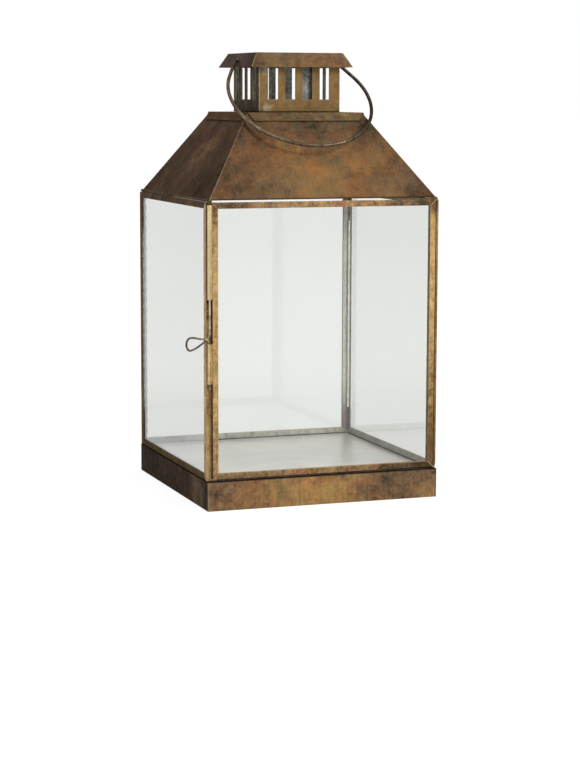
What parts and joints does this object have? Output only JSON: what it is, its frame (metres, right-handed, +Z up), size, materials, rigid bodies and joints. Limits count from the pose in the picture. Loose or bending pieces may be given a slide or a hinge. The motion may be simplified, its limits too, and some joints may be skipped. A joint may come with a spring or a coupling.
{
  "type": "lantern",
  "caption": "Square glazed brass lantern with a hipped roof, a slotted chimney and cap, a hinged glass door with a sliding wire bolt, and a wire bail to carry it.",
  "frame": {"origin": "middle of the underside of the plinth, on the surface that the lantern stands on", "axes": "+Z up along the chimney; -Y out of the door; +X towards the side of the door that is hinged"},
  "size_m": [0.2185, 0.2021, 0.3675],
  "materials": {
    "plinth_brass": "aged brass, mottled brown and gold patina, satin",
    "frame_brass": "aged brass, golden, satin, lightly tarnished",
    "roof_brass": "aged brass, copper-brown mottled patina, satin",
    "chimney_brass": "aged brass, mottled brown and gold patina, satin",
    "dark_wire": "dark olive tarnish, satin",
    "tinned_floor": "dull silver grey, faintly brushed",
    "clear_glass": "clear flat pane, slightly grey"
  },
  "bodies": {
    "lantern": {"plinth_skirt": "plinth_brass", "floor_plate": "tinned_floor", "bottom_plate": "plinth_brass", "left_top_rail": "frame_brass", "left_bottom_rail": "frame_brass", "left_rear_stile": "frame_brass", "left_front_stile": "frame_brass", "left_glass": "clear_glass", "right_top_rail": "frame_brass", "right_bottom_rail": "frame_brass", "right_front_stile": "frame_brass", "right_rear_stile": "frame_brass", "right_glass": "clear_glass", "back_top_rail": "frame_brass", "back_bottom_rail": "frame_brass", "back_right_stile": "frame_brass", "back_left_stile": "frame_brass", "back_glass": "clear_glass", "door_stop_left": "frame_brass", "door_stop_right": "frame_brass", "door_sill": "frame_brass", "hinge_pin": "dark_wire", "latch_keeper": "frame_brass", "eave_strip_left": "roof_brass", "eave_strip_right": "roof_brass", "eave_strip_back": "roof_brass", "roof_front": "roof_brass", "roof_right": "roof_brass", "roof_back": "roof_brass", "roof_left": "roof_brass", "crown_plate": "roof_brass", "chimney_front": "chimney_brass", "chimney_right": "chimney_brass", "chimney_back": "chimney_brass", "chimney_left": "chimney_brass", "chimney_cap": "roof_brass"},
    "door": {"door_top_rail": "frame_brass", "door_bottom_rail": "frame_brass", "door_latch_stile": "frame_brass", "door_hinge_stile": "frame_brass", "door_glass": "clear_glass", "door_hinge_tube": "dark_wire", "latch_sleeve_upper": "frame_brass", "latch_sleeve_lower": "frame_brass"},
    "latch_bolt": {"latch_bolt": "dark_wire"},
    "bail": {"bail_handle": "dark_wire"}
  },
  "joints": [
    {"name": "door_hinge", "type": "hinge", "parent": "lantern", "child": "door", "pos_m": [0.0983, -0.0986, 0.137], "axis": [0, 0, 1], "range_deg": [0, 230]},
    {"name": "bolt_slide", "type": "slide", "parent": "door", "child": "latch_bolt", "axis": [0, 0, 1], "range_m": [0, 0.0274]},
    {"name": "bail_pivot", "type": "hinge", "parent": "lantern", "child": "bail", "pos_m": [0, 0, 0.36142], "axis": [-1, 0, 0], "range_deg": [0, 259]}
  ]
}
